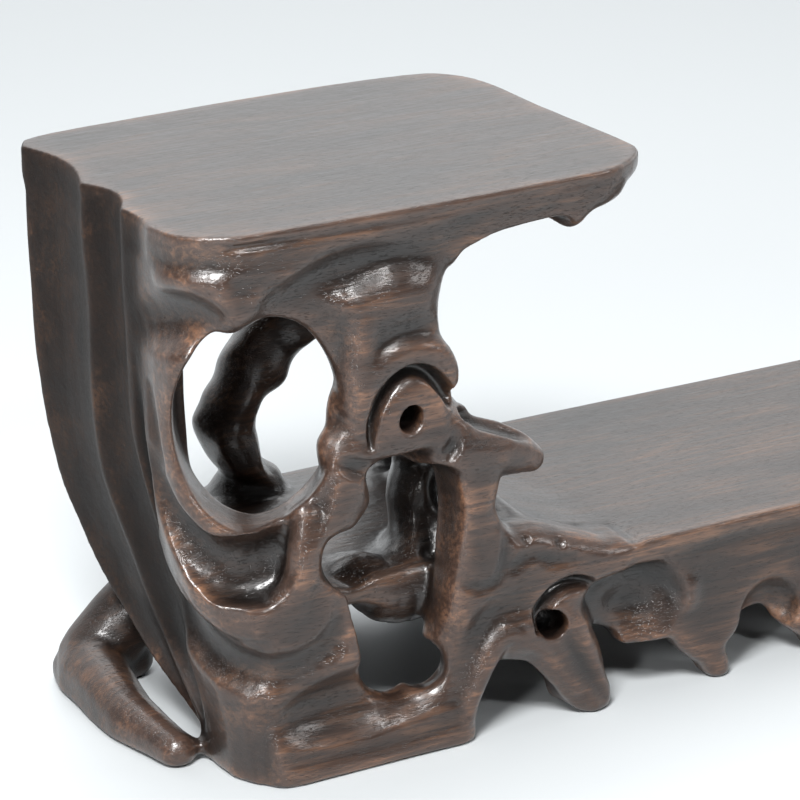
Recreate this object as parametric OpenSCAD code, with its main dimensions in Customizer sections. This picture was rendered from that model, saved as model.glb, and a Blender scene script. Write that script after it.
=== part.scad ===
// Two-tier carved hardwood display stand in the Chinese root style.
// A tall table on a pleated end wall and pierced root webs stands over the left
// end of a long low platform, which is carried on aprons with drip-shaped feet.
// Frame: X along the stand, Y from front to back, Z up from the ground.

/* [Overall] */
// Length of the stand from the splayed foot to the right end
total_len = 284; // [240:1:340]
// Height of the upper top above the ground
upper_top = 120; // [110:1:135]
// Height of the platform's top above the ground
low_top = 37; // [34:0.5:42]

/* [Upper board] */
// Length of the upper board
upper_len = 109; // [100:1:120]
// Depth of the upper board
upper_depth = 90; // [84:1:98]
// Thickness of the upper board, whose underside is the glue face
upper_t = 8; // [7:0.5:10]
// Thickness of its upright rim
rim_t = 3.5; // [2.5:0.5:5]
// How far its underside draws in from the rim
rim_undercut = 2.5; // [1:0.5:4]

/* [End wall] */
// Thickness of the pleated wall
wall_t = 9; // [7:0.5:11]
// Depth of each hollow pleat
pleat_depth = 3.5; // [2:0.5:5]
// How far the wall's foot sweeps in towards the middle of the stand
wall_sweep = 10; // [6:1:14]
// How far the rear of the wall is set in from the back of the upper board
wall_setback = 8; // [4:1:14]

/* [Front root] */
// Thickness of the pierced front web
web_t = 14; // [12:0.5:16]
// Depth of the web's return along the end wall
return_depth = 22; // [19:1:26]
// Width of the oval window
window_w = 33; // [28:1:36]
// Height of the oval window
window_h = 45; // [38:1:47]
// Turn of the window's axis, as it is bored from the front left corner
window_turn = 25; // [15:1:30]
// Radius of the rolled rim round the window and its pocket
rim_r = 4.5; // [3.5:0.5:5.5]
// Radius of the burr that hangs over the legs
burr_r = 14; // [12:0.5:16]
// Diameter of the drilled eye of the burr
eye_d = 5.4; // [4:0.2:7]
// Width of the cut groove that arches over the eye
arch_w = 2.8; // [2:0.2:3.6]
// Radius of the two legs under the burr
leg_r = 5; // [4:0.5:6]
// Length of the side twig
twig_len = 20; // [14:1:24]

/* [Rear root] */
// Thickness of the rear root
rear_t = 13; // [11:0.5:15]

/* [Platform] */
// Depth of the platform board
low_depth = 79; // [72:1:84]
// Thickness of the platform board
low_t = 6; // [5.5:0.5:8]
// Height of the roll where the platform meets the tall part
roll_h = 4.5; // [3:0.5:6]
// Depth of the bed in the platform that the rear root stands in
bed_drop = 0.6; // [0.4:0.1:1]
// Thickness of the aprons
apron_t = 9; // [8:0.5:11]
// Height of the openings under the aprons
apron_gap = 11.5; // [9:0.5:14]
// Spacing of the drip feet
drip_pitch = 27; // [22:1:34]
// Radius of a drip foot at the ground
drip_r = 3.4; // [2.8:0.2:4.2]

/* [Joinery] */
// Diameter of the hidden dowels
dowel_d = 3; // [2.5:0.5:4]
// Depth of a dowel in each piece
dowel_depth = 4; // [3:0.5:4.5]
// Glue clearance round each dowel
dowel_gap = 0.1; // [0.05:0.05:0.2]

/* [Hidden] */

wood = "#3a2318";
wood_dark = "#2b1a13";
wood_end = "#241610";
dowel_wood = "#7a5a3c";

foot_out = 4;                          // the splayed foot reaches past the upper board
board_under = upper_top - upper_t;     // glue face under the upper board
low_under = low_top - low_t;           // glue face under the platform
low_end = total_len - foot_out;        // right end of the platform
seam_x = upper_len - 9;                // front root meets front apron
rear_mid = low_depth - rear_t / 2;     // the rear root is flush with the platform's back
low_start = wall_t + 0.59 * wall_sweep; // the platform's left end meets the end wall
low_front = 1;                         // front edge of the platform
apron_inset = 0.8;                     // the aprons are set in from the platform's edge
apron_front = low_front + apron_inset; // front face of the front apron
end_start = low_end - 24;              // the end apron wraps the corners from here on
big = 500;
crest_r = 1.2;                         // rounding along the end wall's ridge
bed_end = seam_x + 4;                  // the platform's clear top starts here
bed_z = low_top - bed_drop;            // top of the bed
web_round = 4;                         // rounding of the front web's edges
pocket_depth = 6;                      // how deep the pocket is cut from the front
hollow_r = 11;                         // half width of the hollow beside the toe
first_drip = 23;                       // from the seam to the front apron's first drip
rear_drip = 8;                         // from the end apron to the rear apron's first drip
rear_start = 42;                       // left end of the rear apron
ball_facets = 12;
curve_steps = 3;

// Height between the platform's top (0) and the upper board's underside (1)
function up(f) = low_top + f * (board_under - low_top);

// Everything is drawn from the upper board's front left corner, then centred
module centred() {
    translate([foot_out - total_len / 2, -upper_depth / 2, 0])
        children();
}

// ---- Curves ----

// Point at t between b and c on the Catmull-Rom curve through a, b, c, d
function between(a, b, c, d, t) =
    b + 0.5 * t * (c - a + t * (2 * a - 5 * b + 4 * c - d + t * (3 * (b - c) + d - a)));

// Smooth closed curve through a ring of points
function loop_curve(p, steps = curve_steps) =
    let (n = len(p))
    [for (i = [0:n - 1], s = [0:steps - 1])
        between(p[(i + n - 1) % n], p[i], p[(i + 1) % n], p[(i + 2) % n], s / steps)];

// Smooth open curve through a row of points
function rail_curve(p, steps = curve_steps) =
    let (n = len(p))
    concat([for (i = [0:n - 2], s = [0:steps - 1])
        between(p[max(i - 1, 0)], p[i], p[i + 1], p[min(i + 2, n - 1)], s / steps)],
        [p[n - 1]]);

// Row of points from a to b that bows sideways by the offset vector bow
function scallop(a, b, bow, steps) =
    [for (s = [0:steps - 1]) a + (b - a) * s / steps + bow * sin(180 * s / steps)];

// ---- Shape builders ----

module ball(p, facets = ball_facets) {
    translate([p[0], p[1], p[2]])
        sphere(r = p[3], $fn = facets);
}

// A branch: balls [x, y, z, radius] joined one to the next along a smooth curve
module branch(points, steps = 2, facets = ball_facets) {
    row = rail_curve(points, steps);
    for (i = [0:len(row) - 2])
        hull() {
            ball(row[i], facets);
            ball(row[i + 1], facets);
        }
}

// Closed skin over a stack of rings, lowest first, each anticlockwise from above
module skin(rings) {
    n = len(rings[0]);
    m = len(rings);
    polyhedron(
        points = [for (ring = rings, p = ring) p],
        faces = concat(
            [[for (i = [0:n - 1]) i]],
            [for (k = [0:m - 2], i = [0:n - 1])
                [k * n + i, (k + 1) * n + i, (k + 1) * n + (i + 1) % n]],
            [for (k = [0:m - 2], i = [0:n - 1])
                [k * n + i, (k + 1) * n + (i + 1) % n, k * n + (i + 1) % n]],
            [[for (i = [n - 1:-1:0]) (m - 1) * n + i]]));
}

// Upright slab whose outline is drawn in X and Z, from y0 to y1
module slab_xz(y0, y1) {
    translate([0, y1, 0])
        rotate([90, 0, 0])
            linear_extrude(y1 - y0)
                children();
}

// ---- The end wall's rails: where each rib runs ----

rail_z = [board_under, up(0.75), up(0.5), up(0.28), up(0.08), low_top * 0.75,
          low_top * 0.48, low_top * 0.22, 0];

// Outer face of the wall at a station, swept in towards the foot
wall_in = [0, 0, 0, 0.08, 0.3, 0.58, 0.8, 0.95, 1];
rib_y = [31, 31, 31, 25, 22.6, 22.6, 22.6, 22.6, 22.6];
ridge_y = [51, 50, 51, 49.5, 42, 37.5, 31, 26, 24];
wall_rear = upper_depth - wall_setback;
rear_in = [0, -1, 0, 1, 5, 15, 27, 42, 56];

function wall_station(x_in, y) =
    rail_curve([for (i = [0:len(rail_z) - 1]) [wall_sweep * x_in[i], y[i], rail_z[i]]]);

front_rail = wall_station(wall_in, [for (z = rail_z) return_depth]);
rib_rail = wall_station(wall_in, [for (y = rib_y) max(y, return_depth + 0.5)]);
ridge_rail = wall_station(wall_in, [for (y = ridge_y) max(y, return_depth + 1)]);
rear_rail = wall_station(wall_in, [for (y = rear_in) wall_rear - y]);

// ---- Plan outlines ----

corner = [18, 18];    // rounding of the upper board's front left corner

function upper_outline(inset = 0) =
    let (x1 = upper_len - inset, y1 = upper_depth - inset,
         rib = [0, rib_y[0]], ridge = [0, ridge_y[0]], rear = [0, wall_rear])
    concat(
        rail_curve([[0, corner[1]], [2, 9], [8, 3.5], [corner[0], 1],
            [upper_len * 0.5, 0.2 + inset * 0.1], [upper_len - 18, 1 + inset],
            [x1 - 8, 4 + inset], [x1 - 1, 11 + inset], [x1, 20 + inset],
            [x1 - 1.5, upper_depth * 0.55], [x1 - 2, upper_depth - 18],
            [x1 - 6, y1 - 7], [x1 - 15, y1 - 2], [upper_len * 0.6, y1],
            [upper_len * 0.25, y1 - 1], [9, y1 - 2], [2, y1 - 4]], 3),
        scallop(rear, ridge, [pleat_depth, 0], 8),
        scallop(ridge, rib, [pleat_depth, 0], 8),
        scallop(rib, [0, corner[1]], [0.8, 0], 3));

// ---- Pieces ----

// Flat plate with a thin upright rim, whose underside draws in from the rim
module upper_board() {
    color(wood_dark)
        centred()
            difference() {
                intersection() {
                    translate([0, 0, board_under])
                        linear_extrude(upper_t)
                            polygon(upper_outline());
                    hull() {
                        translate([0, 0, board_under])
                            linear_extrude(upper_t)
                                polygon(upper_outline(rim_undercut));
                        translate([0, 0, upper_top - rim_t])
                            linear_extrude(rim_t)
                                polygon(upper_outline());
                    }
                }
                upper_dowel_holes();
            }
}

// Rounded crest along one rib of the end wall
module crest(rail) {
    branch([for (p = rail) [p[0] + crest_r, p[1], p[2], crest_r]], 1, 8);
}

// Pleated end wall: a skin over its rails, hollow between each two ribs
module end_wall() {
    thick = [wall_t, 0, 0];
    color(wood_end)
        centred()
            difference() {
                union() {
                    skin([for (i = [len(front_rail) - 1:-1:0])
                        concat(
                            scallop(rear_rail[i], ridge_rail[i], [pleat_depth, 0, 0], 6),
                            scallop(ridge_rail[i], rib_rail[i], [pleat_depth, 0, 0], 6),
                            scallop(rib_rail[i], front_rail[i], [0.3, 0, 0], 2),
                            [front_rail[i], front_rail[i] + thick, rear_rail[i] + thick])]);
                    intersection() {
                        crest([for (i = [0:3:len(ridge_rail) - 1]) ridge_rail[i]]);
                        translate([-1, return_depth, 0])
                            cube([wall_t + wall_sweep, upper_depth, board_under]);
                    }
                }
                upper_dowel_holes();
                seam_dowel_holes();
            }
}

// Upright web with every edge rounded, between two faces in Y
module rounded_web(y0, y1, round_r) {
    minkowski() {
        slab_xz(y0 + round_r, y1 - round_r)
            offset(delta = -round_r)
                children();
        sphere(r = round_r, $fn = 8);
    }
}

// Oval shaft bored through the front left corner, from the front face at x, z
module oval_shaft(x, z, w, h) {
    translate([x, 0, z])
        rotate([0, 0, -window_turn])
            rotate([90, 0, 0])
                scale([w / h, 1, 1])
                    cylinder(h = 3 * return_depth, d = h, center = true, $fn = 40);
}

// Places of the front root's parts, from the ground and the two tops
window_x = 13.5;
window_z = up(0.567);
burr_x = 46.5;
burr_z = up(0.52);
burr_floor = up(0.41);
toe_x = seam_x - 11;

// Outline of the front web, without its openings
function web_outline() = loop_curve([
    [8, -6], [40, -6], [61, -5], [64, 4], [63.5, 13], [67, 19.5], [74, 20], [80, 14],
    [84, 5], [86, -5], [95, -5], [97, 4], [91, 15], [89, 23], [93, 29], [seam_x + 6, 29.5],
    [seam_x + 6, low_top], [seam_x - 6, low_top + 1.5], [seam_x - 16, low_top + 6],
    [73, low_top + 8], [69, up(0.2)], [71, up(0.3)], [66, up(0.42)], [59, up(0.5)],
    [60.5, up(0.6)], [57.5, up(0.7)], [57.5, up(0.84)], [62, up(0.95)], [72, board_under + 2],
    [70, board_under + 8], [0, board_under + 8], [0, up(0.8)], [0, up(0.4)],
    [2.5, up(0.12)], [6, low_top * 0.75], [8.5, low_top * 0.35]], 2);

// The gap between the two legs
function leg_gap() = loop_curve([
    [41.5, 14], [37.5, 22], [36.5, 30], [33, low_top + 1], [29.5, low_top + 8],
    [33, up(0.21)], [38, up(0.28)], [39.5, up(0.38)], [48, up(0.41)], [55.5, up(0.37)],
    [58, up(0.22)], [57.5, low_top], [54.5, 22], [49, 12.5]], 2);

// The blind pocket under the window
function pocket() = loop_curve([
    [-2, up(0.32)], [1, up(0.15)], [6, up(0.08)], [15, up(0.06)], [20, up(0.11)],
    [22, up(0.2)], [30, up(0.3)], [22, up(0.27)], [13, up(0.25)], [4, up(0.28)]], 2);

// Hollow that runs under the rolled lip, from the end wall round to the left leg
function cove_path() = [
    [-7, 22, up(0.16), 7], [-3.5, 11, low_top - 2, 7], [3, 1, low_top - 8, 6.5],
    [11, -3.5, low_top - 11, 6.5], [21, -4, low_top - 11, 6.5], [30, -4, low_top - 6, 6],
    [34, -4, low_top + 1, 5]];

// The corner that turns from the web back to the end wall
function corner_ring(x, z) =
    [[x, return_depth, z], [x, corner[1], z], [x + 0.8, 12, z], [x + 3.5, 6.5, z],
     [x + 9, 2.5, z], [x + 18, 1, z], [x + 30, 1, z], [x + 30, web_t, z],
     [x + 17, web_t, z], [x + wall_t + 3, web_t + 3, z], [x + wall_t, return_depth, z]];

module corner_shell() {
    skin(concat(
        [corner_ring(wall_sweep, -3)],
        [for (i = [len(front_rail) - 2:-1:0]) corner_ring(front_rail[i][0], front_rail[i][2])],
        [corner_ring(0, board_under + 2)]));
}

// Burr with its arched groove and drilled eye
module burr() {
    difference() {
        translate([burr_x, web_t / 2, burr_z])
            scale([1, web_t / 2 / burr_r, 1])
                sphere(r = burr_r, $fn = 28);
        translate([burr_x - big / 2, -big / 2, burr_floor - big])
            cube(big);
    }
}

// Groove that arches over the eye, and the eye
module eye_cuts() {
    rotate([90, 0, 0]) {
        translate([burr_x + 2, burr_z - 1, 0])
            cylinder(h = 12, d = eye_d, center = true, $fn = 24);
        translate([burr_x + 3, burr_z - 3, 0])
            rotate_extrude(angle = 167, start = 33, $fn = 40)
                translate([burr_r - 4, -3])
                    square([arch_w, 6]);
    }
}

// Everything that the front root may fill: flush with the end wall at the seam, and
// clear of the platform behind it
module front_zone() {
    inner = wall_t + wall_sweep;
    skin([for (i = [len(front_rail) - 1:-1:0])
        let (x = front_rail[i][0], z = front_rail[i][2])
        [[x, return_depth, z], [x - 0.4, corner[1], z], [x, 11.5, z], [x + 2.6, 5.6, z],
         [x + 8, 1.4, z], [x + 17, 0, z], [seam_x, 0, z], [seam_x, web_t, z],
         [inner + 6, web_t, z], [inner, return_depth, z]]]);
}

// Groove that hooks round the pad on the toe, and the hole at its end
module toe_cuts() {
    hook = [[93, 25, 1.2], [91, 29, 1.8], [85.5, 31, 1.8], [79.5, 29, 1.8], [77, 25, 1.6]];
    branch([for (p = hook) [p[0], 0, p[1], p[2]]], 2, 8);
    translate([80.5, 0, 23.5])
        rotate([90, 0, 0])
            cylinder(h = 10, r = 2.6, center = true, $fn = 20);
}

// Upright web, turned back into the end wall at its left, with its window and pocket
module web_blank() {
    difference() {
        union() {
            difference() {
                rounded_web(0.5, web_t, web_round)
                    difference() {
                        polygon(web_outline());
                        polygon(leg_gap());
                    }
                translate([-big, -big / 2, 0])
                    cube([big + wall_sweep + 6, big, board_under]);
            }
            corner_shell();
        }
        slab_xz(-5, pocket_depth)
            polygon(pocket());
        branch(cove_path(), 1);
        oval_shaft(window_x, window_z, window_w, window_h);
    }
}

// Rolled lip that carries the second rib round under the pocket, up to the window
module rolled_lip() {
    branch([[1, 25, up(0.3), 3], [2.5, 16, up(0.17), rim_r - 0.5],
        [7, 7, up(0.06), rim_r], [14, 4.5, up(0.01), rim_r],
        [22, 4.5, up(0.02), rim_r], [26.5, 5, up(0.09), rim_r - 1],
        [27, 5, up(0.17), rim_r - 1], [32, 5, up(0.23), rim_r - 0.5],
        [35, 6, up(0.33), rim_r], [34, 6, up(0.45), rim_r]]);
}

// Right leg under the burr, and the twig beside it
module leg_and_twig() {
    y = web_t / 2;
    branch([[60, y, up(0.42), leg_r + 1.5], [62, y, up(0.3), leg_r],
        [62.5, y, up(0.15), leg_r], [63, y, up(0.03), leg_r - 1]]);
    branch([[60, y, up(0.37), leg_r + 2.5],
        [60 + twig_len * 0.5, y, up(0.345), leg_r + 1.2],
        [60 + twig_len - 3.5, y, up(0.325), 3.5]]);
}

// Knobs along the top of the base, and the toe that curls down to the ground
module base_roots() {
    y = web_t / 2;
    branch([[68, y, low_top + 4, 5], [77, y - 1, low_top + 3, 5.5],
        [86, y - 1.5, low_top, 5], [95, y - 2, low_top - 3, 4.5]]);
    branch([[78, y - 1, 25, 7], [86, y - 1.5, 20, 6], [90, y - 2, 10, 5],
        [91.5, y - 2.5, 2, 4.5]]);
}

// Drip that hangs from the board over the window, and the flare at the board's right
module board_drips() {
    y = web_t / 2;
    branch([[-1, 9, up(0.99), 7], [7, 6.5, up(0.95), 6], [11, 6, up(0.88), 4]]);
    branch([[11, 6, up(0.88), 4], [20, 6, up(0.95), 6], [30, 7, up(0.99), 7]]);
    branch([[50, y, up(0.95), 6.5], [66, y, up(0.995), 6], [88, y, up(1.01), 5.5]]);
}

// Pierced web: window, pocket, burr, legs, twig and the two front feet
module front_root() {
    color(wood)
        centred()
            difference() {
                intersection() {
                    union() {
                        web_blank();
                        rolled_lip();
                        leg_and_twig();
                        base_roots();
                        board_drips();
                        burr();
                    }
                    front_zone();
                }
                eye_cuts();
                toe_cuts();
                upper_dowel_holes();
                seam_dowel_holes();
            }
}

// Rear root: an S-shaped branch and a leg that meet under the upper board
module rear_root() {
    y = rear_mid;
    color(wood_dark)
        centred()
            difference() {
                intersection() {
                    union() {
                        branch([[45, y, up(-0.03), 9], [41.5, y, up(0.09), 6.5],
                            [39.5, y, up(0.19), 5.2], [40.5, y, up(0.28), 5.6],
                            [46, y, up(0.37), 6.5], [54, y, up(0.46), 7], [62, y, up(0.6), 7],
                            [65, y, up(0.8), 7.5], [62, y, up(1), 9]], 1);
                        branch([[86, y, up(-0.02), 7], [78, y, up(0.16), 5.5],
                            [72, y, up(0.38), 5.5], [65, y, up(0.6), 6.5]]);
                        branch([[38, y, up(1.01), 5], [62, y, up(0.96), 8], [92, y, up(1.01), 5]]);
                    }
                    translate([-big / 2, low_depth - rear_t, bed_z])
                        cube([big, rear_t, board_under - bed_z]);
                }
                upper_dowel_holes();
                low_dowel_holes();
            }
}

// Root foot that splays out to the left, under the end wall and the platform
module rear_left_foot() {
    x0 = -foot_out;
    y = low_depth - 8;
    color(wood)
        centred()
            difference() {
                intersection() {
                    union() {
                        branch([[x0 + 8, return_depth + 3, 2.5, 4.5], [x0 + 5.5, 42, 3.5, 6],
                            [x0 + 6.5, 60, 4, 7.5], [x0 + 10, y, 6, 8.5],
                            [20, y, low_under * 0.6, 8], [30, y, low_under - 3, 9]]);
                        branch([[x0 + 5, 62, 2, 5.5], [4, y + 3, 2, 7], [13, y + 1, 4, 7]]);
                    }
                    linear_extrude(low_under)
                        translate([x0, 0])
                            square([big, upper_depth]);
                }
                low_dowel_holes();
            }
}

// ---- The platform ----

function low_outline() =
    let (x1 = low_end, y1 = low_depth)
    concat(
        [[low_start, return_depth], [wall_t + wall_sweep, return_depth],
         [wall_t + wall_sweep + 6, web_t], [seam_x, web_t], [seam_x, low_front + 0.5]],
        rail_curve([[seam_x + 12, low_front], [(seam_x + x1) / 2, low_front + 0.5],
            [x1 - 24, low_front], [x1 - 9, low_front + 3], [x1 - 1.5, low_front + 11],
            [x1, y1 * 0.5], [x1 - 1.5, y1 - 11], [x1 - 9, y1 - 3], [x1 - 24, y1],
            [(seam_x + x1) / 2, y1 - 0.8], [seam_x, y1], [low_start + 16, y1],
            [low_start + 4, y1 - 4], [low_start, y1 - 12]], 4));

// Section of the roll that rises against the tall part, left of the clear top
function roll_section() = concat(
    [[bed_end, bed_z - 1]],
    rail_curve([[bed_end, low_top - 0.1], [bed_end - 6, low_top + roll_h * 0.1],
        [bed_end - 14, low_top + roll_h * 0.55], [bed_end - 21, low_top + roll_h],
        [bed_end - 26, low_top + roll_h * 0.75], [bed_end - 29, bed_z]], 3),
    [[bed_end - 29, bed_z - 1]]);

// Platform board: its clear top, the bed under the tall part, and the roll between them
module low_board() {
    color(wood_dark)
        centred()
            difference() {
                union() {
                    translate([0, 0, low_under])
                        linear_extrude(bed_z - low_under)
                            polygon(low_outline());
                    intersection() {
                        translate([0, 0, low_under])
                            linear_extrude(low_t)
                                polygon(low_outline());
                        translate([bed_end, 0, low_under])
                            cube([big, low_depth, low_t]);
                    }
                    slab_xz(web_t, low_depth - rear_t - 1)
                        polygon(roll_section());
                }
                seam_dowel_holes();
                low_dowel_holes();
            }
}

// Outline of one drip foot that leans to the right, its tip at x
module drip(x) {
    polygon(loop_curve([[x - 13, low_under - 2], [x - 12, apron_gap + 1], [x - 7, apron_gap * 0.5],
        [x - drip_r, 3], [x, -3], [x + drip_r, -3], [x + drip_r + 0.6, 3],
        [x + drip_r - 1, apron_gap * 0.6], [x + 6.5, apron_gap], [x + 9, low_under - 2]], 2));
}

// Apron along X from 0 to length, with its drip feet, from the ground to the platform
module apron(length, first) {
    round_r = 2.5;
    intersection() {
        rounded_web(0, apron_t, round_r)
            union() {
                translate([-round_r * 2, apron_gap])
                    square([length + round_r * 4, low_under - apron_gap + round_r * 2]);
                for (x = [first:drip_pitch:length - 8])
                    drip(x);
            }
        cube([length, apron_t, low_under]);
    }
}

// Spherical hollow in the front apron's face, of that half width and depth
module scoop(x, z, half_width, depth) {
    r = (half_width * half_width + depth * depth) / (2 * depth);
    translate([x, apron_front + depth - r, z])
        sphere(r = r, $fn = 28);
}

// A deep hollow beside the toe, and one between each two drips
module scoops() {
    scoop(seam_x + 3, low_under - 9, hollow_r, 6);
    for (x = [seam_x + first_drip + drip_pitch / 2:drip_pitch:end_start - 10])
        scoop(x, apron_gap + 2.5, drip_pitch * 0.3, 3.4);
}

// End of the front apron, which turns in behind the toe and clears the front root
module apron_return() {
    back = apron_front + apron_t;
    difference() {
        union() {
            hull() {
                ball([seam_x - 7, web_t + 7, low_under - 9, 8]);
                ball([seam_x + 3, web_t + 3, low_under - 9, 9]);
            }
            hull() {
                ball([seam_x + 3, web_t + 3, low_under - 9, 9]);
                ball([seam_x + 13, back - 3, low_under - 9, 8]);
            }
        }
        translate([0, -big, 0])
            cube([seam_x + 0.1, big + web_t + 0.1, big]);
        translate([0, -big / 2, low_under])
            cube(big);
    }
}

module front_apron() {
    color(wood)
        centred()
            difference() {
                union() {
                    translate([seam_x, apron_front, 0])
                        apron(end_start - seam_x, first_drip);
                    apron_return();
                }
                scoops();
                low_dowel_holes();
            }
}

module rear_apron() {
    color(wood)
        centred()
            difference() {
                translate([end_start, low_depth - apron_inset, 0])
                    rotate([0, 0, 180])
                        apron(end_start - rear_start, rear_drip);
                low_dowel_holes();
            }
}

// Foot at the end of the platform, leaning outwards from x, y to its tip
module end_foot(x, y, lean) {
    branch([[x, y, low_under - 7, 7], [x + lean[0] * 0.3, y + lean[1] * 0.3, apron_gap * 0.6, 4.5],
        [x + lean[0], y + lean[1], 2, drip_r]], 2);
}

// Apron that wraps round the right end, with a foot at each corner
module end_apron() {
    x1 = low_end - apron_inset - apron_t / 2;
    front = apron_front + apron_t / 2;
    back = low_depth - apron_inset - apron_t / 2;
    color(wood_end)
        centred()
            difference() {
                intersection() {
                    union() {
                        translate([0, 0, apron_gap])
                            linear_extrude(low_under - apron_gap)
                                difference() {
                                    offset(delta = -apron_inset)
                                        polygon(low_outline());
                                    offset(delta = -apron_inset - apron_t)
                                        polygon(low_outline());
                                }
                        end_foot(x1 - 10, front + 3, [5, -2]);
                        end_foot(x1, low_depth / 2, [3, 2]);
                        end_foot(x1 - 10, back - 3, [5, 2]);
                    }
                    translate([end_start, 0, 0])
                        cube([low_end - end_start, low_depth, low_under]);
                }
                low_dowel_holes();
            }
}

// ---- Hidden dowels ----

module dowels(places) {
    for (p = places)
        translate(p)
            cylinder(h = 2 * dowel_depth, d = dowel_d, center = true, $fn = 24);
}

// Twelve-sided holes that clear the dowels by the glue gap
module dowel_holes(places) {
    for (p = places)
        translate(p)
            cylinder(h = 2 * (dowel_depth + dowel_gap), d = (dowel_d + 2 * dowel_gap) / cos(15),
                center = true, $fn = 12);
}

upper_places = [for (p = [[wall_t / 2, return_depth - 4], [46, web_t / 2],
    [wall_t / 2 + 0.5, rib_y[0] + 2], [wall_t / 2 + 0.5, ridge_y[0]],
    [wall_t / 2 + 0.5, wall_rear - 3], [62, rear_mid]]) [p[0], p[1], board_under]];

low_places = concat(
    [for (x = [seam_x + 16, end_start - 10]) [x, apron_front + apron_t / 2, low_under]],
    [for (x = [seam_x + 16, end_start - 10])
        [x, low_depth - apron_inset - apron_t / 2, low_under]],
    [[low_end - apron_inset - apron_t / 2, low_depth / 2, low_under],
     [30, low_depth - 9, low_under], [45, rear_mid, bed_z]]);

// Seam dowels lie along Y: two from the web into the platform, two into the end wall
seam_places = concat(
    [for (x = [seam_x - 30, seam_x - 10]) [x, web_t, low_top - low_t / 2]],
    [for (i = [2, 19]) front_rail[i] + [wall_t / 2, 0, 0]]);

module upper_dowel_holes() {
    dowel_holes(upper_places);
}

module low_dowel_holes() {
    dowel_holes(low_places);
}

// Turns what is drawn upright at the origin to lie along Y at each place
module lying(places) {
    for (p = places)
        translate(p)
            rotate([90, 0, 0])
                children();
}

module seam_dowel_holes() {
    lying(seam_places)
        dowel_holes([[0, 0, 0]]);
}

module upper_dowels() {
    color(dowel_wood)
        centred()
            dowels(upper_places);
}

module low_dowels() {
    color(dowel_wood)
        centred()
            dowels(low_places);
}

module seam_dowels() {
    color(dowel_wood)
        centred()
            lying(seam_places)
                dowels([[0, 0, 0]]);
}

upper_board();
end_wall();
front_root();
rear_root();
rear_left_foot();
low_board();
front_apron();
rear_apron();
end_apron();
upper_dowels();
seam_dowels();
low_dowels();
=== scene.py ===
"""Two-tier carved hardwood stand: the CAD pieces are blended into one carving, then cut
back into their pieces, so that the grain and the polish run on across every joint."""

import math

import bpy
import numpy as np
import openvdb as vdb
from mathutils import Matrix, Vector


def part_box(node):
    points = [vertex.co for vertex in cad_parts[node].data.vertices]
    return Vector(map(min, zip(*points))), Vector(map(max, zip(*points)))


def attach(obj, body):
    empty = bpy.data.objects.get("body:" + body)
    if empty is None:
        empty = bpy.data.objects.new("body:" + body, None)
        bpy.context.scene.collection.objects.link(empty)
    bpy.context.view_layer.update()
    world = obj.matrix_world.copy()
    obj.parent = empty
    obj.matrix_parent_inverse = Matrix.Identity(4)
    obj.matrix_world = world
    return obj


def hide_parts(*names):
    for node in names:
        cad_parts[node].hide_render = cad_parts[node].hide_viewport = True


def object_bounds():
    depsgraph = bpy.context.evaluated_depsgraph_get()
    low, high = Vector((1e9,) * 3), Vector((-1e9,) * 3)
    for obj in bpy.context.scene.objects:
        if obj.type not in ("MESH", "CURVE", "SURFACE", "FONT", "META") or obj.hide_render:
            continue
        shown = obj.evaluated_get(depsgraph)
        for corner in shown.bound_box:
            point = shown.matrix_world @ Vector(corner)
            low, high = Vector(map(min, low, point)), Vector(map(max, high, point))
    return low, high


MM = 0.001
VOXEL = 0.55  # mm, the clay's grid
BAND = 4.4  # mm, how far the distances are kept on each side of a surface
PAD = 6  # voxels of air round everything
INSET = 0.01  # mm, how far the carving stays inside the CAD's box
PLATFORM_T = 6.0  # mm, thickness of the platform board
CLEAR_TOP = 104.0  # mm, where the platform's clear top starts
JOINT_REACH = 1.2  # mm, how wide a joint is filled
CRISP_BLUR, SOFT_BLUR = 0.4, 0.8  # voxels, on the flat boards and on what is carved
LUMP_SIZE, LUMP_HEIGHT = 7.0, 0.26  # mm, the gouge marks all over the carving

CARVED = [
    "upper_board",
    "end_wall",
    "front_root",
    "rear_root",
    "rear_left_foot",
    "low_board",
    "front_apron",
    "rear_apron",
    "end_apron",
]
SLOTS = {"upper_board": "board_wood", "low_board": "board_wood", "end_wall": "end_grain_wood"}

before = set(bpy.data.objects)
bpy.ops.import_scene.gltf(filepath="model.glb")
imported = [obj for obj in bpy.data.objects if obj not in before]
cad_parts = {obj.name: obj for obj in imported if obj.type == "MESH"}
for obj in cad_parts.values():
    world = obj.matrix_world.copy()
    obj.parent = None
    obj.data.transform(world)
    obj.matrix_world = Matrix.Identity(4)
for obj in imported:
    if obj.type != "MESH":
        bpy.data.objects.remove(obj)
cad_box = [list(corner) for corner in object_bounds()]

# The carving is described in millimetres from the upper board's front left corner at
# ground level, as the construction is.
board_low, board_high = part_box("upper_board")
ORIGIN = np.array([board_low.x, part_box("front_root")[0].y, 0.0]) / MM
TOP = board_high.z / MM
UNDER = board_low.z / MM
LOW_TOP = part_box("low_board")[0].z / MM + PLATFORM_T


# ---- The clay: signed distances in millimetres on one grid ----


def ramp(value, low, high):
    """0 at low and beyond, 1 at high and beyond, straight between."""
    return np.clip((value - low) / (high - low), 0, 1)


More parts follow.
